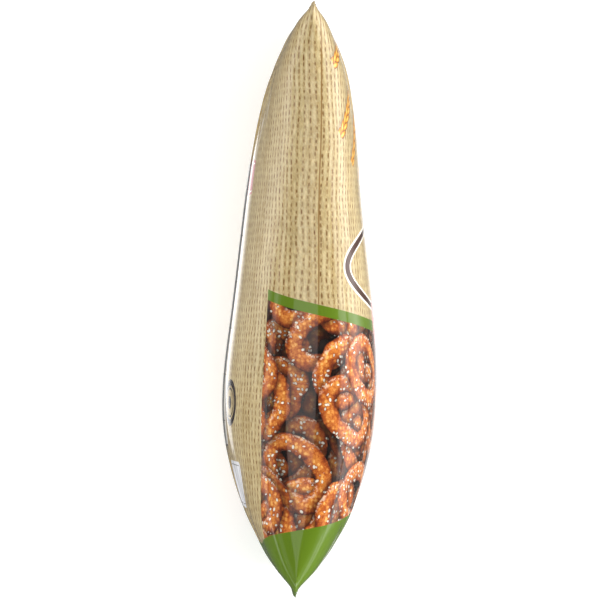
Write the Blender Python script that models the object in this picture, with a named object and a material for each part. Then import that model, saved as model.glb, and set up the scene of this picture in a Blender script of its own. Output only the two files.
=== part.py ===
"""Shut pillow bag of pretzels, lying on one of its narrow sides.

The bag's long axis runs along Y, its front panel faces +X and its back panel
faces -X.  It rests at z = 0 on a strip of its lower side that the contents
press flat, and the origin is on the floor below the middle of the bag.  The
film is a tube with a lap seal down the back, crimped shut at both ends.
"""
import bmesh
import bpy
import numpy as np

MM = 0.001

# Driving sizes, in millimetres
BAG_LENGTH = 280.0          # from cut edge to cut edge
FILM_WIDTH = 178.0          # the empty tube laid flat, which the two end seals keep
SEAL_LENGTH = 3.0           # crimped strip before the film starts to open
RIB_PITCH = 1.2             # crimp ribs, which run along each end seal
RIB_DEPTH = 0.25
LAP_WIDTH = 12.0            # lap seal down the middle of the back
LAP_HEIGHT = 0.8
LAP_STEP = 0.3              # width of the step at each edge of the lap
CREASE_LENGTH = 34.0        # the sharp crease at each corner fades over this length
PANEL_FADE = 14.0           # how soon the panels turn from flat to bulging
SHOWN_LEAN = 3.0            # the upper side leans this far towards the front
LEAN_START = -0.2           # height where the lean starts, as a share of half the width
LEAN_CLEAR = 10.0           # length beside each cut edge that doesn't lean
LEAN_FADE = 60.0            # length over which the lean then grows to its full size
REST_BLEND = 1.5            # height over which the flat strip runs out into the round

# Half the bag's thickness at places along it, as (y, half thickness)
THICKNESS = [
    (-140, 0.5), (-137, 1.8), (-134, 4.6), (-130, 8.8), (-125, 12.7), (-117, 18.0),
    (-105, 25.0), (-90, 30.8), (-70, 36.0), (-45, 38.0), (-15, 36.2), (15, 32.8),
    (45, 29.4), (75, 25.8), (95, 21.9), (112, 17.0), (122, 12.6), (129, 9.0),
    (134, 5.4), (137, 2.5), (140, 0.5),
]
# Height of the upper and the lower side, as (y, height).  Filling the bag draws its
# sides in, so the end seals stand past them.  Below zero the contents press it flat.
UPPER_SIDE = [
    (-140, 180), (-120, 166), (-100, 153.5), (-75, 142.5), (-45, 137.5), (0, 142.5),
    (45, 149.5), (80, 155.5), (105, 162), (122, 170), (140, 180),
]
LOWER_SIDE = [(-140, 2), (-110, 1.5), (-80, -2.5), (-40, -4.5), (20, -4.5), (70, -3), (110, 1), (140, 2)]
# Sideways bend of the filled bag, as (y, offset towards the front)
BEND = [(-140, 0.0), (-100, 1.0), (-20, 1.2), (50, -0.3), (140, 0.0)]

# Section exponents.  Along the upper and the lower side 1 is a sharp crease, 2 an
# ellipse and more is blunter.  Across the panels a high one keeps them flat.
CREASED, SHOWN_ROUND, REST_ROUND = 1.0, 2.25, 2.8
FLAT_PANEL, ROUND_PANEL = 20.0, 2.15

COLUMNS = 96                # film columns around the bag, before those of the lap
BODY_ROWS = 22              # rows from each seal to the middle
ROW_GROWTH = 1.6            # rows spread out away from the seals by this power
SECTION_SAMPLES = 600       # points on each half of a section while it is measured
SHARP_ANGLE = 50.0          # edges sharper than this, in degrees, stay sharp in shading
FILM_COLOUR = (0.52, 0.40, 0.24, 1.0)
FILM_ROUGHNESS = 0.3

HALF_LENGTH = BAG_LENGTH / 2
LAP_MIDDLE = 1.5 * FILM_WIDTH


def ease(x):
    """Smooth step from 0 to 1."""
    x = np.clip(x, 0.0, 1.0)
    return x * x * (3.0 - 2.0 * x)


def spline_through(places, at):
    """Natural cubic spline through (position, value) pairs, read at one position or more."""
    xs, ys = np.array(places, float).T
    gap = np.diff(xs)
    matrix, known = np.eye(len(xs)), np.zeros(len(xs))
    for i in range(1, len(xs) - 1):
        matrix[i, i - 1:i + 2] = gap[i - 1], 2 * (gap[i - 1] + gap[i]), gap[i]
        known[i] = 6 * ((ys[i + 1] - ys[i]) / gap[i] - (ys[i] - ys[i - 1]) / gap[i - 1])
    bend = np.linalg.solve(matrix, known)
    i = np.clip(np.searchsorted(xs, at) - 1, 0, len(xs) - 2)
    after, before = xs[i + 1] - at, at - xs[i]
    cubic = (bend[i] * after ** 3 + bend[i + 1] * before ** 3) / (6 * gap[i])
    return (cubic + (ys[i] / gap[i] - bend[i] * gap[i] / 6) * after
            + (ys[i + 1] / gap[i] - bend[i + 1] * gap[i] / 6) * before)


def half_section(half_thick, half_wide, crease, panel, films):
    """Front half of a section as (x, z): film lengths from the upper to the lower crease."""
    turn = np.linspace(0.0, np.pi, SECTION_SAMPLES)
    along, across = np.cos(turn), np.sin(turn)
    exponent = np.where(along > 0, crease[0], crease[1])
    x = half_thick * across ** (2 / exponent)
    z = half_wide * np.sign(along) * abs(along) ** (2 / panel)
    length = np.concatenate([[0.0], np.cumsum(np.hypot(np.diff(x), np.diff(z)))])
    at = films / FILM_WIDTH * length[-1]
    return np.interp(at, length, x), np.interp(at, length, z)


def film_columns():
    """Film lengths around the bag from the upper crease, over the front, and back to it."""
    regular = np.arange(COLUMNS) * 2 * FILM_WIDTH / COLUMNS
    edge = LAP_WIDTH / 2
    steps = LAP_MIDDLE + np.array([-edge - LAP_STEP, -edge, edge, edge + LAP_STEP])
    clear = abs(regular - LAP_MIDDLE) < edge - LAP_STEP
    clear |= abs(regular - LAP_MIDDLE) > edge + 2 * LAP_STEP
    return np.sort(np.concatenate([regular[clear], steps]))


def lap_rise(films):
    """1 on the lap seal and 0 on the rest of the film."""
    return (abs(films - LAP_MIDDLE) < LAP_WIDTH / 2 + LAP_STEP / 2).astype(float)


def rows_along():
    """Places of the rows along Y: close at the ribs, wider towards the middle."""
    half_rib = RIB_PITCH / 2
    ribs = np.arange(round(SEAL_LENGTH / half_rib)) * half_rib
    body = SEAL_LENGTH + (HALF_LENGTH - SEAL_LENGTH) * np.linspace(0, 1, BODY_ROWS) ** ROW_GROWTH
    from_edge = np.concatenate([ribs, body])
    lower = from_edge - HALF_LENGTH
    return np.concatenate([lower, -lower[-2::-1]])


def press_flat(z):
    """Height over the floor: film that would sink below it lies flat at zero."""
    blended = (z + REST_BLEND) ** 2 / (4 * REST_BLEND)
    return np.where(z > REST_BLEND, z, np.where(z < -REST_BLEND, 0.0, blended))


def ring(y, films):
    """Points of the section at y, in millimetres, one for each film column."""
    from_edge = HALF_LENGTH - abs(y)
    half_thick = float(spline_through(THICKNESS, y))
    roundness = ease(from_edge / CREASE_LENGTH)
    crease = (CREASED + (SHOWN_ROUND - CREASED) * roundness,
              CREASED + (REST_ROUND - CREASED) * roundness)
    panel = ROUND_PANEL + (FLAT_PANEL - ROUND_PANEL) * np.exp(-from_edge / PANEL_FADE)
    top = float(spline_through(UPPER_SIDE, y))
    bottom = float(spline_through(LOWER_SIDE, y))
    half_wide = (top - bottom) / 2

    on_front = films <= FILM_WIDTH
    folded = np.where(on_front, films, 2 * FILM_WIDTH - films)
    x, z = half_section(half_thick, half_wide, crease, panel, folded)
    x = x + LAP_HEIGHT * lap_rise(films)
    x = np.where(on_front, x, -x)

    upper = ease((z / half_wide - LEAN_START) / (1 - LEAN_START))
    x = x + SHOWN_LEAN * upper * ease((from_edge - LEAN_CLEAR) / LEAN_FADE)
    x = x + float(spline_through(BEND, y))
    if from_edge < SEAL_LENGTH:
        x = x + RIB_DEPTH * np.cos(2 * np.pi * from_edge / RIB_PITCH)

    height = press_flat(z + (top + bottom) / 2)
    return np.stack([x, np.full_like(x, y), height], axis=1)


def film_material():
    """Plain stand-in for the printed film."""
    material = bpy.data.materials.new("printed_film")
    material.use_nodes = True
    shader = material.node_tree.nodes["Principled BSDF"]
    shader.inputs["Base Color"].default_value = FILM_COLOUR
    shader.inputs["Roughness"].default_value = FILM_ROUGHNESS
    shader.inputs["Metallic"].default_value = 0.0
    return material


def build_bag(collection):
    """Loft the bag through its sections, close it at both cut edges and flatten the rest."""
    films = film_columns()
    sections = np.array([ring(y, films) for y in rows_along()])
    reach = sections[:, :, 0]
    sections[:, :, 0] -= (reach.min() + reach.max()) / 2

    mesh = bmesh.new()
    rings = [[mesh.verts.new(point) for point in section * MM] for section in sections]
    for lower, upper in zip(rings, rings[1:]):
        for i, corner in enumerate(lower):
            j = (i + 1) % len(lower)
            mesh.faces.new((corner, lower[j], upper[j], upper[i]))
    mesh.faces.new(rings[0])
    mesh.faces.new(rings[-1])
    bmesh.ops.recalc_face_normals(mesh, faces=mesh.faces)

    resting = [face for face in mesh.faces if all(corner.co.z == 0.0 for corner in face.verts)]
    bmesh.ops.dissolve_faces(mesh, faces=resting)
    bmesh.ops.triangulate(mesh, faces=mesh.faces)

    data = bpy.data.meshes.new("pretzel_bag")
    mesh.to_mesh(data)
    mesh.free()
    data.materials.append(film_material())
    data.shade_smooth()
    data.set_sharp_from_angle(angle=np.radians(SHARP_ANGLE))
    bag = bpy.data.objects.new("pretzel_bag", data)
    collection.objects.link(bag)
    return bag


def main():
    for thing in list(bpy.data.objects):
        bpy.data.objects.remove(thing, do_unlink=True)
    collection = bpy.data.collections.new("bag_of_pretzels")
    bpy.context.scene.collection.children.link(collection)
    build_bag(collection)


main()
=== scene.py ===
"""Shut pillow bag of pretzels, lying on its narrow side and seen from above.

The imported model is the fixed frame.  Its one node is replaced by a finer mesh of nearly
the same form, with crimped and pinked end seals, puckers beside them, a lap seal down
the back and a printed film.
"""
import math

import bpy
import numpy as np
from mathutils import Matrix, Vector


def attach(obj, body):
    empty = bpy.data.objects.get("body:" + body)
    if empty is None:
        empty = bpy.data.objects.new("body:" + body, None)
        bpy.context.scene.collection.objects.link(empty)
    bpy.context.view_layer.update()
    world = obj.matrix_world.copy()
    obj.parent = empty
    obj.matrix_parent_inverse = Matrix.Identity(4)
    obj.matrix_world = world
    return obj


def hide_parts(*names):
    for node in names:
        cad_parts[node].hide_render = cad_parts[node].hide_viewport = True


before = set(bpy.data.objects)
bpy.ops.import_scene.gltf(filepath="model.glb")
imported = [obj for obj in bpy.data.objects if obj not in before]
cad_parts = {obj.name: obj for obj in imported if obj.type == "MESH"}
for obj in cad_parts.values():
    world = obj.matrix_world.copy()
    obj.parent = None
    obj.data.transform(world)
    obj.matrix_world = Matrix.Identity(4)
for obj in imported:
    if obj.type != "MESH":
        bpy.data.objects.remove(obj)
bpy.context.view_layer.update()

MM = 0.001

# Form of the bag, in millimetres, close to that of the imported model
BAG_LENGTH = 280.0
FILM_WIDTH = 178.0          # the empty tube laid flat
SEAL_LENGTH = 3.0
RIB_PITCH = 1.2
RIB_DEPTH = 0.25
CREASE_LENGTH = 34.0        # the sharp crease at each corner fades over this length
PANEL_FADE = 14.0           # how soon the panels turn from flat to bulging
SHOWN_LEAN = 3.0            # the upper side leans this far towards the front
LEAN_START = -0.2           # height where the lean starts, as a share of half the width
LEAN_CLEAR = 10.0           # length beside each cut edge that doesn't lean
LEAN_FADE = 60.0            # length over which the lean then grows to its full size
REST_BLEND = 1.5            # height over which the flat strip runs out into the round

# Half the bag's thickness, the heights of its upper and lower side, and its sideways
# bend, at places along it.  The thickness and the bend follow the photo's outline more
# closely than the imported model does, and lie up to 1.2 mm from it.
THICKNESS = [
    (-140, 0.5), (-137, 1.9), (-134, 4.8), (-130, 9.0), (-125, 13.0), (-117, 18.2),
    (-105, 25.1), (-90, 31.0), (-70, 36.1), (-45, 37.9), (-15, 35.8), (15, 32.3),
    (45, 28.7), (75, 25.2), (95, 21.6), (112, 16.8), (122, 12.5), (129, 8.9),
    (134, 5.4), (137, 2.5), (140, 0.5),
]
UPPER_SIDE = [
    (-140, 180), (-120, 166), (-100, 153.5), (-75, 142.5), (-45, 137.5), (0, 142.5),
    (45, 149.5), (80, 155.5), (105, 162), (122, 170), (140, 180),
]
LOWER_SIDE = [(-140, 2), (-110, 1.5), (-80, -2.5), (-40, -4.5), (20, -4.5), (70, -3), (110, 1), (140, 2)]
BEND = [
    (-140, 0.0), (-122, 0.9), (-98, 1.1), (-58, 0.9), (-8, 1.2), (50, -0.5), (90, -0.2),
    (118, 0.2), (140, 0.1),
]
CREASED, SHOWN_ROUND, REST_ROUND = 1.0, 2.25, 2.8
FLAT_PANEL, ROUND_PANEL = 20.0, 2.15
SECTION_SAMPLES = 900       # points on each half of a section while it is measured

# Finer film mesh
COLUMNS = 300               # even, so that each crease falls on a column
SEAL_ROWS = 10
BODY_ROWS = 108
ROW_GROWTH = 1.35           # rows spread out away from the seals by this power
TOOTH_DEPTH = 0.8           # the cut edges are pinked, one tooth every two columns
TOOTH_FADE = 6.0            # the teeth shrink over this length towards the creases
PUCKER_DEPTH = 1.5
PUCKER_WAVES = (11, 17, 23, 31)         # waves around the bag, added up
PUCKER_SPREAD = 0.12        # how much they spread or close up towards the middle
PUCKER_SHARPNESS = 0.8      # below 1, their flanks get steeper
PUCKER_GROWTH = 14.0        # length beside each seal over which the puckers grow
PUCKER_FULL = 12.0          # distance from the cut edge where they start to fade
PUCKER_FADE = 34.0          # length of that fade
CREASE_CLEAR = 26.0         # length beside each crease that has no puckers
CREASE_GROWTH = 30.0        # length over which they then grow
LAP_WIDTH = 12.0
LAP_LIFT = 0.6
LAP_SINK = 0.1              # its sides reach this far into the film below
SHARP_ANGLE = 50.0          # edges sharper than this, in degrees, stay sharp in shading

HALF_LENGTH = BAG_LENGTH / 2
FRONT_MIDDLE = 0.5 * FILM_WIDTH         # film lengths around the bag, from the upper crease
LAP_MIDDLE = 1.5 * FILM_WIDTH
rng = np.random.default_rng(7)


def ease(x):
    """Smooth step from 0 to 1."""
    x = np.clip(x, 0.0, 1.0)
    return x * x * (3.0 - 2.0 * x)


def spline_through(places, at):
    """Natural cubic spline through (position, value) pairs, read at one position or more."""
    xs, ys = np.array(places, float).T
    gap = np.diff(xs)
    matrix, known = np.eye(len(xs)), np.zeros(len(xs))
    for i in range(1, len(xs) - 1):
        matrix[i, i - 1:i + 2] = gap[i - 1], 2 * (gap[i - 1] + gap[i]), gap[i]
        known[i] = 6 * ((ys[i + 1] - ys[i]) / gap[i] - (ys[i] - ys[i - 1]) / gap[i - 1])
    bend = np.linalg.solve(matrix, known)
    i = np.clip(np.searchsorted(xs, at) - 1, 0, len(xs) - 2)
    after, before = xs[i + 1] - at, at - xs[i]
    cubic = (bend[i] * after ** 3 + bend[i + 1] * before ** 3) / (6 * gap[i])
    return (cubic + (ys[i] / gap[i] - bend[i] * gap[i] / 6) * after
            + (ys[i + 1] / gap[i] - bend[i + 1] * gap[i] / 6) * before)


def half_section(half_thick, half_wide, crease, panel, films):
    """Front half of a section as (x, z): film lengths from the upper to the lower crease."""
    turn = np.linspace(0.0, np.pi, SECTION_SAMPLES)
    along, across = np.cos(turn), np.sin(turn)
    exponent = np.where(along > 0, crease[0], crease[1])
    x = half_thick * across ** (2 / exponent)
    z = half_wide * np.sign(along) * abs(along) ** (2 / panel)
    length = np.concatenate([[0.0], np.cumsum(np.hypot(np.diff(x), np.diff(z)))])
    at = films / FILM_WIDTH * length[-1]
    return np.interp(at, length, x), np.interp(at, length, z)


def press_flat(z):
    """Height over the floor: film that would sink below it lies flat at zero."""
    blended = (z + REST_BLEND) ** 2 / (4 * REST_BLEND)
    return np.where(z > REST_BLEND, z, np.where(z < -REST_BLEND, 0.0, blended))


def section(y, films):
    """Points of the bag's section at y, in millimetres, one for each film column."""
    from_edge = HALF_LENGTH - abs(y)
    half_thick = float(spline_through(THICKNESS, y))
    roundness = ease(from_edge / CREASE_LENGTH)
    crease = (CREASED + (SHOWN_ROUND - CREASED) * roundness,
              CREASED + (REST_ROUND - CREASED) * roundness)
    panel = ROUND_PANEL + (FLAT_PANEL - ROUND_PANEL) * np.exp(-from_edge / PANEL_FADE)
    top = float(spline_through(UPPER_SIDE, y))
    bottom = float(spline_through(LOWER_SIDE, y))
    half_wide = (top - bottom) / 2

    on_front = films <= FILM_WIDTH
    folded = np.where(on_front, films, 2 * FILM_WIDTH - films)
    x, z = half_section(half_thick, half_wide, crease, panel, folded)
    x = np.where(on_front, x, -x)

    upper = ease((z / half_wide - LEAN_START) / (1 - LEAN_START))
    x = x + SHOWN_LEAN * upper * ease((from_edge - LEAN_CLEAR) / LEAN_FADE)
    x = x + float(spline_through(BEND, y))
    if from_edge < SEAL_LENGTH:
        x = x + RIB_DEPTH * np.cos(2 * np.pi * from_edge / RIB_PITCH)

    height = press_flat(z + (top + bottom) / 2)
    return np.stack([x, np.full_like(x, y), height], axis=1)


def rows_along():
    """Places of the rows along Y: close in the seals, wider towards the middle."""
    seal = np.arange(SEAL_ROWS) * SEAL_LENGTH / SEAL_ROWS
    body = SEAL_LENGTH + (HALF_LENGTH - SEAL_LENGTH) * np.linspace(0, 1, BODY_ROWS) ** ROW_GROWTH
    from_edge = np.concatenate([seal, body])
    lower = from_edge - HALF_LENGTH
    return np.concatenate([lower, -lower[-2::-1]])


def outward(points):
    """Unit normals of a grid of points that closes on itself along its second axis."""
    around = np.roll(points, -1, axis=1) - np.roll(points, 1, axis=1)
    along = np.gradient(points, axis=0)
    normals = np.cross(around, along)
    normals /= np.linalg.norm(normals, axis=2, keepdims=True) + 1e-12
    middle = points.mean(axis=1, keepdims=True)
    inward = (normals * (points - middle)).sum() < 0
    return -normals if inward else normals


def crease_distance(films):
    """Distance over the film to the nearer of the two creases."""
    return FILM_WIDTH / 2 - abs((films % FILM_WIDTH) - FILM_WIDTH / 2)


def puckers(films, ys):
    """Rise and fall of the panels beside the end seals, from 0 at the creases, in millimetres."""
    around, along = np.meshgrid(films, ys)
    from_edge = HALF_LENGTH - abs(along)
    faded = ((from_edge - PUCKER_FULL) / PUCKER_FADE).clip(0)
    reach = ease((from_edge - SEAL_LENGTH) / PUCKER_GROWTH) * np.exp(-faded ** 2)
    reach *= ease((crease_distance(around) - CREASE_CLEAR) / CREASE_GROWTH)
    total = np.zeros_like(around)
    for wave in PUCKER_WAVES:
        phase = rng.uniform(0, 2 * np.pi, 2)
        spread = 1 + PUCKER_SPREAD * from_edge / HALF_LENGTH * np.sin(around / 40 + phase[0])
        end_phase = np.where(along > 0, phase[0], phase[1])
        total += np.sin(np.pi * wave * around / FILM_WIDTH * spread + end_phase)
    total /= len(PUCKER_WAVES)
    sharp = np.sign(total) * abs(total) ** PUCKER_SHARPNESS
    return PUCKER_DEPTH * reach * sharp


def bag_points():
    """Film lengths of the columns and the film's points, row by row, in millimetres."""
    films = np.arange(COLUMNS) * 2 * FILM_WIDTH / COLUMNS
    ys = rows_along()
    points = np.array([section(y, films) for y in ys])
    reach = points[:, :, 0]
    points[:, :, 0] -= (reach.min() + reach.max()) / 2
    points += outward(points) * puckers(films, ys)[:, :, None]

    tooth = TOOTH_DEPTH * (np.arange(COLUMNS) % 2) * ease(crease_distance(films) / TOOTH_FADE)
    from_edge = HALF_LENGTH - abs(points[:, :, 1])
    pulled = tooth[None, :] * (1 - from_edge / SEAL_LENGTH).clip(0) ** 2
    points[:, :, 1] -= np.sign(points[:, :, 1]) * pulled
    points[:, :, 2] = points[:, :, 2].clip(0)
    return films, ys, points


def unrolled(films):
    """Film lengths counted from the lap seal, so that the print's seam lies there."""
    return (films + 2 * FILM_WIDTH - LAP_MIDDLE) % (2 * FILM_WIDTH)


def printed_piece(name, points, faces, uvs, material):
    """Mesh piece whose UV map runs once around the film in U and once along it in V."""
    mesh = bpy.data.meshes.new(name)
    mesh.from_pydata((points.reshape(-1, 3) * MM).tolist(), [], faces)
    layer = mesh.uv_layers.new(name="film")
    layer.data.foreach_set("uv", np.asarray(uvs, dtype=np.float32).ravel())
    mesh.materials.append(material)
    mesh.validate()
    mesh.update()
    mesh.shade_smooth()
    mesh.set_sharp_from_angle(angle=math.radians(SHARP_ANGLE))
    piece = bpy.data.objects.new(name, mesh)
    bpy.context.scene.collection.objects.link(piece)
    return piece


def build_film(material, films, ys, points):
    """The bag's film as one closed mesh, capped at both cut edges."""
    rows = len(ys)
    width = 2 * FILM_WIDTH
    step = width / COLUMNS
    starts = unrolled(films)
    heights = ys / BAG_LENGTH + 0.5
    faces, uvs = [], []
    for row in range(rows - 1):
        lower, upper = row * COLUMNS, (row + 1) * COLUMNS
        v_low, v_high = heights[row], heights[row + 1]
        for column in range(COLUMNS):
            after = (column + 1) % COLUMNS
            faces.append((lower + column, lower + after, upper + after, upper + column))
            u, u_after = starts[column] / width, (starts[column] + step) / width
            uvs += [(u, v_low), (u_after, v_low), (u_after, v_high), (u, v_high)]
    for row, corners in ((0, range(COLUMNS - 1, -1, -1)), (rows - 1, range(COLUMNS))):
        faces.append([row * COLUMNS + column for column in corners])
        uvs += [(starts[column] / width, heights[row]) for column in corners]
    return printed_piece("bag_film", points, faces, uvs, material)


def build_lap(material, films, ys, points):
    """The lap seal: a flat strip of doubled film down the middle of the back."""
    chosen = np.flatnonzero(abs(films - LAP_MIDDLE) <= LAP_WIDTH / 2)
    outer = outward(points)[:, chosen]
    base = points[:, chosen]
    top = base + LAP_LIFT * outer
    low = base - LAP_SINK * outer
    strip = np.concatenate([low[:, :1], top, low[:, -1:]], axis=1)
    rows, columns = strip.shape[:2]
    places = 1.0 + (films[chosen] - LAP_MIDDLE) / (2 * FILM_WIDTH)
    places = np.concatenate([places[:1], places, places[-1:]])
    heights = ys / BAG_LENGTH + 0.5

    faces = []
    for row in range(rows - 1):
        for column in range(columns - 1):
            corner = row * columns + column
            faces.append((corner, corner + 1, corner + columns + 1, corner + columns))
        first, last = row * columns, row * columns + columns - 1
        faces.append((last, first, first + columns, last + columns))
    faces.append(list(range(columns - 1, -1, -1)))
    faces.append([(rows - 1) * columns + column for column in range(columns)])
    uvs = [(places[corner % columns], heights[corner // columns]) for face in faces for corner in face]
    return printed_piece("lap_seal", strip, faces, uvs, material)


def linear(red, green, blue):
    """Linear colour of an sRGB colour in 0 to 255."""
    channels = [value / 255 for value in (red, green, blue)]
    return [c / 12.92 if c <= 0.04045 else ((c + 0.055) / 1.055) ** 2.4 for c in channels]


class Value:
    """A socket of a node tree, so that sums of nodes read like ordinary arithmetic."""

    def __init__(self, graph, socket):
        self.graph = graph
        self.socket = socket

    def __add__(self, other):
        return self.graph.math("ADD", self, other)

    def __radd__(self, other):
        return self.graph.math("ADD", other, self)

    def __sub__(self, other):
        return self.graph.math("SUBTRACT", self, other)

    def __rsub__(self, other):
        return self.graph.math("SUBTRACT", other, self)

    def __mul__(self, other):
        return self.graph.math("MULTIPLY", self, other)

    def __rmul__(self, other):
        return self.graph.math("MULTIPLY", other, self)

    def __truediv__(self, other):
        return self.graph.math("DIVIDE", self, other)

    def __rtruediv__(self, other):
        return self.graph.math("DIVIDE", other, self)

    def __abs__(self):
        return self.graph.math("ABSOLUTE", self)

    def __floor__(self):
        return self.graph.math("FLOOR", self)

    def root(self):
        return self.graph.math("SQRT", self)

    def at_least(self, other):
        return self.graph.math("MAXIMUM", self, other)

    def at_most(self, other):
        return self.graph.math("MINIMUM", self, other)


class Graph:
    """Adds nodes to one node tree."""

    def __init__(self, tree):
        self.tree = tree

    def node(self, kind, **settings):
        made = self.tree.nodes.new(kind)
        for name, value in settings.items():
            setattr(made, name, value)
        return made

    def feed(self, socket, value):
        """Link a value to a socket, or write it there when it is a plain number or colour."""
        if isinstance(value, Value):
            self.tree.links.new(value.socket, socket)
        elif isinstance(value, (list, tuple)) and len(value) == 3 and socket.type == "RGBA":
            socket.default_value = (*value, 1.0)
        else:
            socket.default_value = value

    def math(self, operation, *values):
        made = self.node("ShaderNodeMath", operation=operation)
        for socket, value in zip(made.inputs, values):
            self.feed(socket, value)
        return Value(self, made.outputs[0])

    def rise(self, value, low, high):
        """0 below low and 1 above high, smooth between; the other way round if low is the larger."""
        made = self.node("ShaderNodeMapRange", interpolation_type="SMOOTHSTEP")
        for socket, number in zip(made.inputs, (value, low, high)):
            self.feed(socket, number)
        return Value(self, made.outputs["Result"])

    def inside(self, reach, soft=0.2):
        """1 where a reach is below 0 and 0 above it, with a soft edge."""
        return self.rise(reach, soft, -soft)

    def line(self, distance, half_wide, soft):
        """1 on a line and 0 beside it, from the distance to its middle."""
        return self.rise(abs(distance), half_wide + soft, half_wide - soft)

    def vector(self, x, y, z=0.0):
        made = self.node("ShaderNodeCombineXYZ")
        for socket, value in zip(made.inputs, (x, y, z)):
            self.feed(socket, value)
        return Value(self, made.outputs[0])

    def parts(self, vector):
        made = self.node("ShaderNodeSeparateXYZ")
        self.feed(made.inputs[0], vector)
        return [Value(self, socket) for socket in made.outputs]

    def noise(self, x, y, seed, detail=2.0, roughness=0.5):
        """Smooth noise around 0.5, one lump for each unit of x and y."""
        made = self.node("ShaderNodeTexNoise", noise_dimensions="3D")
        self.feed(made.inputs["Vector"], self.vector(x, y, seed * 7.31))
        self.feed(made.inputs["Scale"], 1.0)
        self.feed(made.inputs["Detail"], detail)
        self.feed(made.inputs["Roughness"], roughness)
        return Value(self, made.outputs["Fac"])

    def random(self, x, y, seed):
        """Three numbers from 0 to 1 that are the same all over one cell."""
        made = self.node("ShaderNodeTexWhiteNoise", noise_dimensions="3D")
        self.feed(made.inputs["Vector"], self.vector(x, y, seed * 3.17))
        return self.parts(Value(self, made.outputs["Color"]))

    def cells(self, x, y):
        """Scattered points: distance to the nearest, its place, and three random numbers of it."""
        made = self.node("ShaderNodeTexVoronoi", voronoi_dimensions="2D", feature="F1")
        self.feed(made.inputs["Vector"], self.vector(x, y))
        self.feed(made.inputs["Scale"], 1.0)
        place = self.parts(Value(self, made.outputs["Position"]))
        numbers = self.parts(Value(self, made.outputs["Color"]))
        return Value(self, made.outputs["Distance"]), place, numbers

    def mix(self, factor, first, second):
        """The first colour where the factor is 0, the second where it is 1."""
        made = self.node("ShaderNodeMix", data_type="RGBA")
        self.feed(made.inputs[0], factor)
        self.feed(made.inputs[6], first)
        self.feed(made.inputs[7], second)
        return Value(self, made.outputs[2])

    def choose(self, factor, first, second):
        """The first number where the factor is 0, the second where it is 1."""
        made = self.node("ShaderNodeMix", data_type="FLOAT")
        self.feed(made.inputs[0], factor)
        self.feed(made.inputs[2], first)
        self.feed(made.inputs[3], second)
        return Value(self, made.outputs[0])

    def shade(self, colour, factor):
        """Colour made lighter or darker by a factor."""
        made = self.node("ShaderNodeVectorMath", operation="SCALE")
        self.feed(made.inputs[0], colour)
        self.feed(made.inputs["Scale"], factor)
        return Value(self, made.outputs[0])

    def ramp(self, value, stops):
        """Colour of a value from 0 to 1, read between stops of (place, sRGB colour)."""
        made = self.node("ShaderNodeValToRGB")
        elements = made.color_ramp.elements
        while len(elements) < len(stops):
            elements.new(0.5)
        for element, (place, colour) in zip(elements, stops):
            element.position = place
            element.color = (*linear(*colour), 1.0)
        self.feed(made.inputs[0], value)
        return Value(self, made.outputs[0])


# Print: colours are sRGB in 0 to 255, and places are millimetres over the film, s around the
# bag from the upper crease and v along it from the middle
THREAD_PITCH = (3.0, 3.35)       # of the woven print, around and along the bag
CREAM = (195, 178, 136)
TAN = (166, 144, 97)
GAP_BROWN = (98, 56, 14)
FLECK_BROWN = (140, 98, 44)
LINE_BROWN = (132, 98, 52)
LEAF_GREEN = (85, 112, 12)
LABEL_BROWN = (70, 44, 34)
LABEL_WHITE = (236, 230, 218)
BADGE_RED = (170, 32, 44)
BARE_FILM_AND_OUTLINE_SHADE_GREY = (92, 95, 98)         # the film's bare edge along the lap seal, grey also as painted shade: the dark line along the bag's outline
STAMP_BROWN = (38, 20, 16)
BOX_WHITE = (226, 226, 230)
BOX_GREY = (150, 146, 144)


def burlap(graph, s, v):
    """Coarse sacking: pale upright threads, brown gaps between them, knots and loose fibres."""
    wander = graph.noise(s * 0.05, v * 0.03, 1, 1.0)
    sag = graph.noise(s * 0.04, v * 0.05, 2, 1.0)
    across = s / THREAD_PITCH[0] + (wander - 0.5) * 1.6
    along = v / THREAD_PITCH[1] + (sag - 0.5) * 1.6
    column, row = math.floor(across), math.floor(along)
    one, two, three = graph.random(column, row, 3)
    tone, _, _ = graph.random(column, 0.0, 4)
    sideways = across - column - 0.5 + (one - 0.5) * 0.2
    upward = along - row - 0.5 + (two - 0.5) * 0.3
    out = abs(sideways)

    gap_wide = sideways * (THREAD_PITCH[0] / 0.40)
    gap_tall = upward * (THREAD_PITCH[1] / 1.0) * (1.3 - 0.6 * three)
    gap_reach = (gap_wide * gap_wide + gap_tall * gap_tall).root()
    gap = graph.rise(gap_reach, 1.5, 0.5) * (0.55 + 0.45 * one) * (0.65 + 0.35 * two)

    patchy = graph.noise(s * 0.35, v * 0.16, 5, 2.0)
    thread = graph.rise(out, 0.12, 0.42) * graph.rise(patchy, 0.32, 0.6)
    knot = graph.rise(abs(upward), 0.26, 0.5) * graph.rise(out, 0.3, 0.1) * three
    fibre = graph.noise(s * 1.9, v * 0.28, 6, 3.0, 0.6)
    stray = graph.noise((s + v) * 0.9, (v - s) * 0.22, 9, 2.0, 0.6)
    speck = graph.noise(s * 0.9, v * 0.9, 7, 3.0, 0.65)
    blotch = graph.noise(s * 0.08, v * 0.06, 8, 2.0)

    pale = 0.16 + 0.62 * thread + 0.4 * knot + 0.4 * (tone - 0.5) + 0.8 * (speck - 0.5)
    cloth = graph.mix(pale, linear(*TAN), linear(*CREAM))
    light = 1.0 + 0.75 * (fibre - 0.5) + 0.45 * (stray - 0.5) + 0.25 * (blotch - 0.5)
    cloth = graph.shade(cloth, light)
    fleck = graph.rise(graph.noise(s * 1.7, v * 0.9, 24, 2.0, 0.6), 0.54, 0.68) * graph.rise(out, 0.4, 0.2)
    cloth = graph.mix(fleck * 0.5, cloth, linear(*FLECK_BROWN))
    return graph.mix(gap * (0.6 + 0.8 * speck).at_most(1.0), cloth, linear(*GAP_BROWN))


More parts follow.
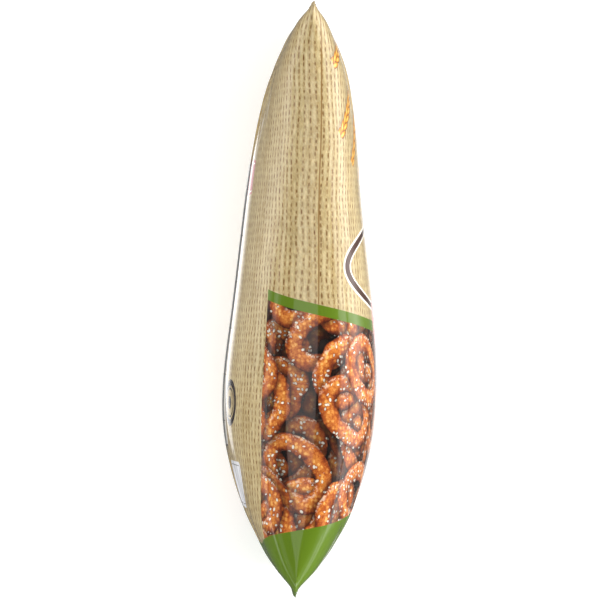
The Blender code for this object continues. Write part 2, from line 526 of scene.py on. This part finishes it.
def ring_reach(x, y, centre, radii):
    """How far a point is outside the middle line of an oval ring; negative is inside it."""
    dx, dy = x - centre[0], y - centre[1]
    wide, tall = dx / radii[0], dy / radii[1]
    ratio = (wide * wide + tall * tall).root()
    steep_x, steep_y = wide / radii[0], tall / radii[1]
    steep = (steep_x * steep_x + steep_y * steep_y).root().at_least(0.001)
    return ratio * (ratio - 1) / steep


PRETZEL_CELL = 64.0
STRAND = 4.6                     # half the width of a pretzel's strand
PRETZEL_RINGS = [((-11.8, 4.2), (11.4, 16.8)), ((11.8, 4.2), (11.4, 16.8)), ((0.0, -11.4), (14.0, 12.0))]
GAP_DARK = (48, 38, 34)
# Turn and offset of each layer of the heap, its seed, how much of it is there, its brightness
HEAP = [(1.3, (5.0, 50.0), 10, 1.0, 0.15), (0.9, (11.0, 27.0), 11, 1.0, 0.28),
        (0.35, (12.0, 30.0), 12, 1.0, 0.46), (-0.25, (47.0, 8.0), 13, 1.0, 0.7),
        (0.6, (30.0, 40.0), 17, 0.9, 0.86), (0.1, (8.0, 12.0), 19, 0.6, 0.95)]
HEAP_LIGHT = (-0.35, 0.94)       # where the light comes from on the pictured pretzels
CRUST = [(0.0, (62, 22, 12)), (0.28, (120, 48, 16)), (0.55, (170, 82, 27)), (0.8, (208, 128, 52)),
         (1.0, (234, 176, 94))]
GLOSS = (250, 226, 196)
SESAME = (246, 238, 220)
SEED_PITCH = 2.3
SEED_SIZE = (0.86, 0.54)         # half its length and half its width
BLISTERS = 0.45                  # blisters of the crust to a millimetre


def ring_facing(x, y, centre, radii, light):
    """How squarely the outside of an oval ring faces the light, from -1 to 1."""
    steep_x = (x - centre[0]) / radii[0] ** 2
    steep_y = (y - centre[1]) / radii[1] ** 2
    steep = (steep_x * steep_x + steep_y * steep_y).root().at_least(0.0001)
    return (steep_x * light[0] + steep_y * light[1]) / steep


def pretzel_layer(graph, s, v, turn, offset, seed, chance):
    """One layer of scattered pretzels: rise and light of the strand, cover, shadow, crossings."""
    cos, sin = math.cos(turn), math.sin(turn)
    across = (s * cos + v * sin + offset[0]) / PRETZEL_CELL
    along = (v * cos - s * sin + offset[1]) / PRETZEL_CELL
    column, row = math.floor(across), math.floor(along)
    spin, there, _ = graph.random(column, row, seed)
    right = (across - column - 0.5) * PRETZEL_CELL
    up = (along - row - 0.5) * PRETZEL_CELL
    angle = spin * (2 * math.pi)
    cosine, sine = graph.math("COSINE", angle), graph.math("SINE", angle)
    light_right = HEAP_LIGHT[0] * cos + HEAP_LIGHT[1] * sin
    light_up = HEAP_LIGHT[1] * cos - HEAP_LIGHT[0] * sin
    light = (light_right * cosine + light_up * sine, light_up * cosine - light_right * sine)
    sway = graph.noise(s * 0.09, v * 0.09, seed, 1.0) * 4.0 - 2.0
    x = right * cosine + up * sine + sway
    y = up * cosine - right * sine + sway * 0.6
    there = graph.rise(there, chance + 0.001, chance)

    strand = STRAND + sway * 0.3
    reaches = [ring_reach(x, y, *ring) / strand for ring in PRETZEL_RINGS]
    left, right_lobe, low = (abs(reach) for reach in reaches)
    left_lit, right_lit, low_lit = (
        ring_facing(x, y, *ring, light) * reach for ring, reach in zip(PRETZEL_RINGS, reaches))
    left_cover = graph.rise(left, 1.03, 0.97)
    right_cover = graph.rise(right_lobe, 1.03, 0.97)
    under = graph.choose(right_cover, low, right_lobe)
    across_strand = graph.choose(left_cover, under, left)
    lit = graph.choose(left_cover, graph.choose(right_cover, low_lit, right_lit), left_lit)
    nearest = left.at_most(right_lobe).at_most(low)
    rise = (1 - (across_strand * across_strand).at_most(1.0)).root()
    beside_left = graph.choose(left_cover, graph.rise(left, 0.95, 1.7), 1.0)
    beside_right = graph.choose(right_cover, graph.rise(right_lobe, 0.95, 1.6), 1.0)
    beside_right = graph.choose(left_cover, beside_right, 1.0)
    cover = graph.rise(nearest, 1.03, 0.97) * there
    around = graph.rise(nearest, 1.9, 0.9) * there
    return rise, lit, cover, around, (0.4 + 0.6 * beside_left) * (0.4 + 0.6 * beside_right)


def sesame(graph, s, v):
    """Sesame seeds scattered over the crust: the seeds, their brightness, the rim under each."""
    _, place, numbers = graph.cells(s / SEED_PITCH, v / SEED_PITCH)
    dx, dy = s - place[0] * SEED_PITCH, v - place[1] * SEED_PITCH
    angle = numbers[0] * (2 * math.pi)
    cosine, sine = graph.math("COSINE", angle), graph.math("SINE", angle)
    size = 0.75 + 0.4 * numbers[2]
    long_way = (dx * cosine + dy * sine) / SEED_SIZE[0]
    short_way = (dy * cosine - dx * sine) / SEED_SIZE[1]
    reach = (long_way * long_way + short_way * short_way).root() / size
    crowded = 0.08 + 0.5 * graph.rise(graph.noise(s * 0.11, v * 0.11, 16, 2.0), 0.42, 0.68)
    there = graph.rise(numbers[1] - crowded, 0.01, -0.01)
    bright = 0.62 + 0.38 * numbers[2] - 0.12 * reach.at_most(1.0)
    return graph.rise(reach, 1.12, 0.78) * there, bright, graph.rise(reach, 2.0, 1.0) * there


def pretzel_heap(graph, s, v):
    """A heap of sesame pretzels in layers, darker with depth and lit from above."""
    distance, _, numbers = graph.cells(s * BLISTERS, v * BLISTERS)
    blister = graph.rise(distance, 0.56, 0.16) * graph.rise(numbers[0], 0.1, 0.75)
    mottle = graph.noise(s * 0.3, v * 0.3, 14, 3.0, 0.6)
    fine = graph.noise(s * 1.3, v * 1.3, 15, 2.0)
    seeds, seed_light, rims = sesame(graph, s, v)
    tone = 0.27 * blister + 1.1 * (mottle - 0.5) + 0.5 * (fine - 0.5)
    broken = graph.rise(graph.noise(s * 0.8, v * 0.8, 18, 2.0), 0.46, 0.62)
    heap = linear(*GAP_DARK)
    for turn, offset, seed, chance, brightness in HEAP:
        rise, lit, cover, around, crossing = pretzel_layer(graph, s, v, turn, offset, seed, chance)
        crust = graph.ramp(tone + 0.62 * rise + 0.1 * lit + 0.01, CRUST)
        gloss = graph.rise(lit, 0.28, 0.55) * graph.rise(lit, 0.85, 0.6) * broken
        crust = graph.mix(gloss * 0.5, crust, linear(*GLOSS))
        crust = graph.shade(crust, 1 - 0.4 * rims)
        crust = graph.mix(seeds, crust, graph.shade(linear(*SESAME), seed_light))
        crust = graph.shade(crust, crossing * (0.58 + 0.42 * rise) * (1 + 0.32 * lit) * brightness)
        heap = graph.shade(heap, 1 - 0.7 * around)
        heap = graph.mix(cover, heap, crust)
    return heap


OVAL = ((FRONT_MIDDLE, 16.0), (70.0, 22.0))      # middle and half sizes
ICON_RINGS = [((-8.4, 2.6), (7.6, 10.2)), ((8.4, 2.6), (7.6, 10.2)), ((0.0, -6.2), (9.0, 7.0))]
ICON_STROKE = 1.6                # half the width of its brown stroke
ICON_EDGE = 2.45                 # the same with the white edge around it


def oval_label(graph, s, v, ground):
    """Oval frame, a brown band between white edges, around a plain brown pretzel."""
    reach = ring_reach(s, v, *OVAL)
    off_middle = (s - OVAL[0][0]) / OVAL[1][0]
    band = 2.2 + 2.0 * off_middle * off_middle
    white = graph.rise(reach, 1.35, 1.05) * graph.rise(reach + band, -1.2, -0.9)
    brown = graph.rise(reach, 0.15, -0.15) * graph.rise(reach + band, -0.15, 0.15)
    framed = graph.mix(white, ground, linear(*LABEL_WHITE))
    framed = graph.mix(brown, framed, linear(*LABEL_BROWN))

    x, y = s - OVAL[0][0], v - OVAL[0][1]
    left, right, low = (abs(ring_reach(x, y, *ring)) for ring in ICON_RINGS)
    stroke = left.at_most(right).at_most(low)
    framed = graph.mix(graph.inside(stroke - ICON_EDGE, 0.15), framed, linear(*LABEL_WHITE))
    return graph.mix(graph.inside(stroke - ICON_STROKE, 0.15), framed, linear(*LABEL_BROWN))


# Foot of each wheat ear, out from the front's middle line and along the bag, and its lean
WHEAT_EARS = [((77.0, 111.5), 1.0), ((72.5, 78.5), 0.75), ((57.0, 65.5), 0.62), ((34.0, 92.0), 0.55),
              ((36.0, 60.0), 0.7)]
EAR_LENGTH = 36.0
GRAIN_PITCH = 5.4
GRAIN_GOLD = [(0.0, (104, 54, 18)), (0.3, (176, 108, 24)), (0.65, (218, 158, 44)), (1.0, (240, 202, 104))]


def wheat_ear(graph, w, v, foot, lean, ground):
    """One ear of wheat, of plump grains that overlap in turn, leaning in towards the middle."""
    cos, sin = math.cos(lean), math.sin(lean)
    dx, dy = foot[0] - w, v - foot[1]
    along = dy * cos + dx * sin
    aside = dx * cos - dy * sin
    across = abs(aside)
    skewed = (along - across * 1.3) / GRAIN_PITCH + 0.5 * graph.rise(aside, -0.01, 0.01)
    grain = skewed - math.floor(skewed) - 0.5
    taper = graph.rise(along, EAR_LENGTH, EAR_LENGTH - 12.0) * 0.35 + 0.65
    wide = (across / taper - 1.35) / 1.75
    reach = (grain * grain * 3.2 + wide * wide).root()
    shape = graph.rise(along, 0.0, 0.6) * graph.rise(along, EAR_LENGTH, EAR_LENGTH - 0.6)
    shadow = graph.rise(abs(aside + 1.2), 4.6, 2.6) * shape
    gold = graph.ramp(1.12 - reach + 0.45 * grain, GRAIN_GOLD)
    drawn = graph.mix(shadow * 0.35, ground, linear(96, 82, 66))
    return graph.mix(graph.rise(reach, 1.16, 1.02) * shape, drawn, gold)


# Boxes on the back: half width, half height and corner radius.  Middles are (s, v), and the
# pale panel's is on the lap seal
PANEL_V, PANEL_BOX = -4.0, (16.0, 70.0, 4.0)
RULE_PITCH = 23.0
TAG_MIDDLE, TAG_BOX = (-70.5, 59.0), (10.0, 8.5, 3.0)
WHITE_MIDDLE, WHITE_BOX = (-63.0, -91.5), (12.0, 11.0, 2.5)
STAMP_MIDDLE = (-62.0, -52.0)
STAMP_RINGS = [(9.9, 1.55, 0.15), (6.9, 0.425, 0.075)]     # radius, half width, softness
STAMP_DOT = 3.25
# Badge on the front, and its ring
BADGE_MIDDLE = (72.0, -8.0)
BADGE_RADIUS = 16.5
BADGE_RING = 13.6


def box_reach(across, along, half_wide, half_tall, corner):
    """How far a point is outside a box with rounded corners; inside it, the corner's radius below 0."""
    side = (abs(across) - (half_wide - corner)).at_least(0.0)
    end = (abs(along) - (half_tall - corner)).at_least(0.0)
    return (side * side + end * end).root() - corner


def circle_distance(s, v, middle):
    """Distance over the film from a point."""
    x, y = s - middle[0], v - middle[1]
    return (x * x + y * y).root()


def back_panel(graph, s, v, ground):
    """Back of the bag: a pale ruled panel, a red tag, a ring stamp and a white box."""
    from_lap = FILM_WIDTH - abs(s - FRONT_MIDDLE)
    edge = box_reach(from_lap, v - PANEL_V, *PANEL_BOX)
    rules = (v - PANEL_V) / RULE_PITCH
    ruled = graph.line(rules - math.floor(rules) - 0.5, 0.0105, 0.0035) * graph.inside(edge + 2.8)
    drawn = graph.mix(graph.inside(edge), ground, linear(*LABEL_WHITE))
    drawn = graph.mix(graph.line(edge + 0.4, 0.4, 0.1), drawn, linear(*LABEL_BROWN))
    drawn = graph.mix(ruled * 0.8, drawn, linear(*LINE_BROWN))

    tag = box_reach(s - TAG_MIDDLE[0], v - TAG_MIDDLE[1], *TAG_BOX)
    drawn = graph.mix(graph.inside(tag), drawn, linear(*BADGE_RED))
    drawn = graph.mix(graph.line(tag + 1.6, 0.3, 0.1), drawn, linear(*LABEL_WHITE))

    stamp = circle_distance(s, v, STAMP_MIDDLE)
    for radius, half_wide, soft in STAMP_RINGS:
        drawn = graph.mix(graph.line(stamp - radius, half_wide, soft), drawn, linear(*STAMP_BROWN))
    drawn = graph.mix(graph.inside(stamp - STAMP_DOT, 0.15), drawn, linear(*STAMP_BROWN))

    box = box_reach(s - WHITE_MIDDLE[0], v - WHITE_MIDDLE[1], *WHITE_BOX)
    drawn = graph.mix(graph.inside(box), drawn, linear(*BOX_WHITE))
    return graph.mix(graph.line(box + 1.8, 0.275, 0.075), drawn, linear(*BOX_GREY))


def badge(graph, s, v, ground):
    """Plain round red badge with a pale ring, on the front over the green band."""
    reach = circle_distance(s, v, BADGE_MIDDLE)
    drawn = graph.mix(graph.inside(reach - BADGE_RADIUS), ground, linear(*BADGE_RED))
    return graph.mix(graph.line(reach - BADGE_RING, 0.425, 0.125), drawn, linear(*LABEL_WHITE))


# The band's upper edge and the green end's edge are parabolas over the front
BAND_V, BAND_BEND = -11.0, 0.001175
BAND_WIDTH = 5.1
END_V, END_BEND = -101.0, -0.00108
END_LOWEST = -118.0
FIELD_REACH = 113.8              # the band and the pretzels reach this far from the front's middle
SIDE_LINE = 3.55                 # brown line beside the upper crease
LINE_BOW = 0.75                  # how far it bows out at BOW_LENGTH past BOW_START
BOW_START, BOW_LENGTH = 60.0, 50.0
BARE_AND_OUTLINE_SHADE_WIDTH = 0.65                # of the bare film at the lap's edge, a grey strip that is also painted shade for the dark outline
BARE_AND_OUTLINE_SHADE_END = 82.0                  # where it ends, counted from PANEL_V
BARE_AND_OUTLINE_SHADE_FADE = 18.0                 # length over which it fades before that


def film_print(graph, s, v):
    """The whole printed design over the film."""
    w = abs(s - FRONT_MIDDLE)
    design = burlap(graph, s, v)

    for foot, lean in WHEAT_EARS:
        design = wheat_ear(graph, w, v, foot, lean, design)
    design = oval_label(graph, s, v, design)
    design = back_panel(graph, s, v, design)

    band_top = v - (w * w * BAND_BEND + BAND_V)
    on_front = graph.inside(w - FIELD_REACH)
    bow = ((v - BOW_START) / BOW_LENGTH).at_least(0.0)
    line = graph.line(s - SIDE_LINE - LINE_BOW * bow * bow, 0.375, 0.125)
    line = line * graph.rise(band_top, -0.5, 0.5)
    design = graph.mix(line * 0.85, design, linear(*LINE_BROWN))

    field = graph.inside(band_top + BAND_WIDTH) * on_front
    design = graph.mix(graph.inside(band_top) * on_front, design, linear(*LEAF_GREEN))
    design = graph.mix(field, design, pretzel_heap(graph, s, v))
    low_edge = v - (w * w * END_BEND + END_V).at_least(END_LOWEST)
    design = graph.mix(graph.inside(low_edge), design, linear(*LEAF_GREEN))
    design = badge(graph, s, v, design)

    # Grey strip at the lap's edge: the bare film, and painted shade that draws the dark line along the
    # bag's outline
    lap_edge = LAP_MIDDLE + LAP_WIDTH / 2
    bare_film_and_outline_shade = graph.inside(lap_edge - BARE_AND_OUTLINE_SHADE_WIDTH - s, 0.15)
    bare_film_and_outline_shade = bare_film_and_outline_shade * graph.rise(abs(v - PANEL_V), BARE_AND_OUTLINE_SHADE_END, BARE_AND_OUTLINE_SHADE_END - BARE_AND_OUTLINE_SHADE_FADE)
    return graph.mix(bare_film_and_outline_shade, design, linear(*BARE_FILM_AND_OUTLINE_SHADE_GREY))


def film_material():
    """Printed plastic film: matt ink under a clear glossy layer."""
    material = bpy.data.materials.new("printed_film")
    material.use_nodes = True
    graph = Graph(material.node_tree)
    shader = material.node_tree.nodes["Principled BSDF"]
    uv = graph.node("ShaderNodeUVMap", uv_map="film")
    u, along, _ = graph.parts(Value(graph, uv.outputs[0]))
    s = u * (2 * FILM_WIDTH) - FRONT_MIDDLE
    v = along * BAG_LENGTH - HALF_LENGTH

    graph.feed(shader.inputs["Base Color"], film_print(graph, s, v))
    smear = graph.noise(s * 0.12, v * 0.05, 21, 3.0)
    graph.feed(shader.inputs["Roughness"], 0.5 + 0.16 * (smear - 0.5))
    shader.inputs["Specular IOR Level"].default_value = 0.1
    shader.inputs["Coat Weight"].default_value = 0.8
    shader.inputs["Coat Roughness"].default_value = 0.04
    shader.inputs["Coat IOR"].default_value = 1.5
    return material


# Stage, in metres
FLOOR_REACH = 6.0
FLOOR_GLOW = 0.26
CARD_HEIGHT = 0.002              # of the soft cards over the floor
LEFT_RIM_FADES = (0.026, 0.002, 0.05, 0.05)
LEFT_RIM_TURN = 0.2              # the card follows the bag's outline, which slants


def build_floor():
    """Wide plain floor, nearly white."""
    mesh = bpy.data.meshes.new("floor")
    reach = FLOOR_REACH
    corners = [(-reach, -reach, 0), (reach, -reach, 0), (reach, reach, 0), (-reach, reach, 0)]
    mesh.from_pydata(corners, [], [(0, 1, 2, 3)])
    material = bpy.data.materials.new("floor_paint")
    material.use_nodes = True
    shader = material.node_tree.nodes["Principled BSDF"]
    graph = Graph(material.node_tree)
    spot = graph.node("ShaderNodeTexCoord")
    x, y, _ = graph.parts(Value(graph, spot.outputs["Object"]))
    grain = graph.noise(x * 40.0, y * 40.0, 31, 3.0)
    graph.feed(shader.inputs["Base Color"], graph.mix(grain, (0.90, 0.90, 0.90), (0.92, 0.92, 0.92)))
    shader.inputs["Roughness"].default_value = 0.9
    shader.inputs["Emission Color"].default_value = (1.0, 1.0, 1.0, 1.0)
    shader.inputs["Emission Strength"].default_value = FLOOR_GLOW
    mesh.materials.append(material)
    floor = bpy.data.objects.new("floor", mesh)
    bpy.context.scene.collection.objects.link(floor)
    floor.visible_glossy = False


def soften(lamp, size, fades):
    """Let an area light's glow fade out before each side: X low, X high, Y low and Y high."""
    lamp.use_nodes = True
    graph = Graph(lamp.node_tree)
    place = graph.node("ShaderNodeTexCoord")
    across, along, _ = graph.parts(Value(graph, place.outputs["UV"]))
    glow = graph.rise(across * size[0], 0.0, fades[0]) * graph.rise((1 - across) * size[0], 0.0, fades[1])
    glow *= graph.rise(along * size[1], 0.0, fades[2]) * graph.rise((1 - along) * size[1], 0.0, fades[3])
    graph.feed(lamp.node_tree.nodes["Emission"].inputs["Strength"], glow)


def add_light(name, place, aim, size, radiance, fades=None, turn=0.0):
    """Area light of the given radiance.  With fades it is a soft card that the film only mirrors."""
    lamp = bpy.data.lights.new(name, "AREA")
    lamp.shape = "RECTANGLE"
    lamp.size, lamp.size_y = size
    lamp.energy = radiance * math.pi * size[0] * size[1]
    if fades:
        soften(lamp, size, fades)
    light = bpy.data.objects.new(name, lamp)
    light.location = place
    light.rotation_euler = (Vector(aim) - Vector(place)).to_track_quat("-Z", "Y").to_euler()
    light.rotation_euler.rotate_axis("Z", turn)
    light.visible_camera = False
    light.visible_glossy = bool(fades)
    light.visible_diffuse = not fades
    bpy.context.scene.collection.objects.link(light)


def add_floor_card(name, left, right, near, far, radiance, fades, turn=0.0):
    """Soft card lying just over the floor and shining up, between these places along X and Y.

    The fades are those before the left, right, near and far side.
    """
    middle = ((left + right) / 2, (near + far) / 2)
    size = (right - left, far - near)
    own_fades = (fades[1], fades[0], *fades[2:])     # its own X axis points to the left
    add_light(name, (*middle, CARD_HEIGHT), (*middle, 1.0), size, radiance, own_fades, turn)


def light_scene():
    """Dim surroundings, soft lights, and cards that only the film mirrors."""
    world = bpy.data.worlds.new("studio")
    world.use_nodes = True
    graph = Graph(world.node_tree)
    coordinates = graph.node("ShaderNodeTexCoord")
    side, _, height = graph.parts(Value(graph, coordinates.outputs["Generated"]))
    horizon = graph.rise(height, 0.22, 0.16) * graph.rise(height, -0.04, 0.0)
    below = graph.rise(height, -0.95, -0.995) * graph.rise(side, -0.02, 0.02)
    glow = 0.15 + 0.5 * horizon + 0.8 * below
    background = world.node_tree.nodes["Background"]
    background.inputs["Color"].default_value = (1.0, 1.0, 1.0, 1.0)
    graph.feed(background.inputs["Strength"], glow)
    bpy.context.scene.world = world

    middle = (0.0, 0.0, 0.07)
    add_light("sky_light", (0.0, 0.0, 3.0), middle, (6.0, 6.0), 1.25)
    add_light("right_light", (2.2, 0.0, 0.7), middle, (1.2, 2.4), 8.0)
    add_light("right_fill", (0.37, 0.0, CARD_HEIGHT), (0.37, 0.0, 1.0), (0.58, 0.6), 2.0)
    add_light("left_light", (-2.3, 0.0, 0.6), middle, (1.0, 2.4), 4.6)
    add_light("top_card", (-0.34, 0.0, 1.2), (-0.34, 0.0, 0.0), (1.32, 5.6), 1.4,
              (0.06, 0.06, 0.2, 0.2))
    add_light("right_wall", (1.2, -0.14, 0.29), (0.0, -0.14, 0.29), (0.8, 0.58), 2.4,
              (0.12, 0.12, 0.1, 0.1))
    add_light("left_wall", (-1.2, -0.1, 0.12), (0.0, -0.1, 0.12), (0.7, 0.24), 1.0,
              (0.15, 0.15, 0.04, 0.04))
    add_floor_card("right_card", 0.12, 1.19, -0.14, 0.22, 2.6, (0.16, 0.16, 0.12, 0.12))
    add_floor_card("left_card", -1.19, -0.05, -0.07, 0.15, 1.8, (0.24, 0.24, 0.09, 0.09))
    add_floor_card("left_rim", -0.0745, -0.045, -0.105, 0.12, 2.5, LEFT_RIM_FADES, LEFT_RIM_TURN)
    add_floor_card("right_rim", 0.02, 0.09, -0.1, 0.04, 0.5, (0.03, 0.035, 0.05, 0.05))


# Place that the photograph was taken from
VIEW_TARGET = (0.0, 0.0, 74.0)
VIEW_DISTANCE = 1800.0
VIEW_TILT = 1.0                  # degrees from straight above, towards the back panel
VIEW_ROLL = 1.8                  # degrees
VIEW_SLIDE = (-1.4, -0.45)       # sideways and along the bag, in millimetres
LENS = 217.0


def add_camera():
    """Camera above the bag, a little off the vertical and turned by the roll."""
    tilt, roll = math.radians(VIEW_TILT), math.radians(VIEW_ROLL)
    right = Vector((math.cos(tilt), 0.0, math.sin(tilt)))
    up = Vector((0.0, 1.0, 0.0))
    back = Vector((-math.sin(tilt), 0.0, math.cos(tilt)))
    rolled_right = right * math.cos(roll) + up * math.sin(roll)
    rolled_up = up * math.cos(roll) - right * math.sin(roll)
    place = Vector(VIEW_TARGET) + back * VIEW_DISTANCE
    place += rolled_right * VIEW_SLIDE[0] + rolled_up * VIEW_SLIDE[1]
    matrix = Matrix((rolled_right, rolled_up, back)).transposed().to_4x4()
    matrix.translation = place * MM
    data = bpy.data.cameras.new("camera")
    data.lens = LENS
    data.sensor_width = 36.0
    data.clip_end = 50.0
    camera = bpy.data.objects.new("camera", data)
    camera.matrix_world = matrix
    bpy.context.scene.collection.objects.link(camera)
    bpy.context.scene.camera = camera


def main():
    bpy.context.scene.view_settings.view_transform = "Standard"
    add_camera()
    light_scene()
    build_floor()
    material = film_material()
    films, ys, points = bag_points()
    film = build_film(material, films, ys, points)
    lap = build_lap(material, films, ys, points)
    for piece in (film, lap):
        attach(piece, "root")
    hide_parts("pretzel_bag")


main()
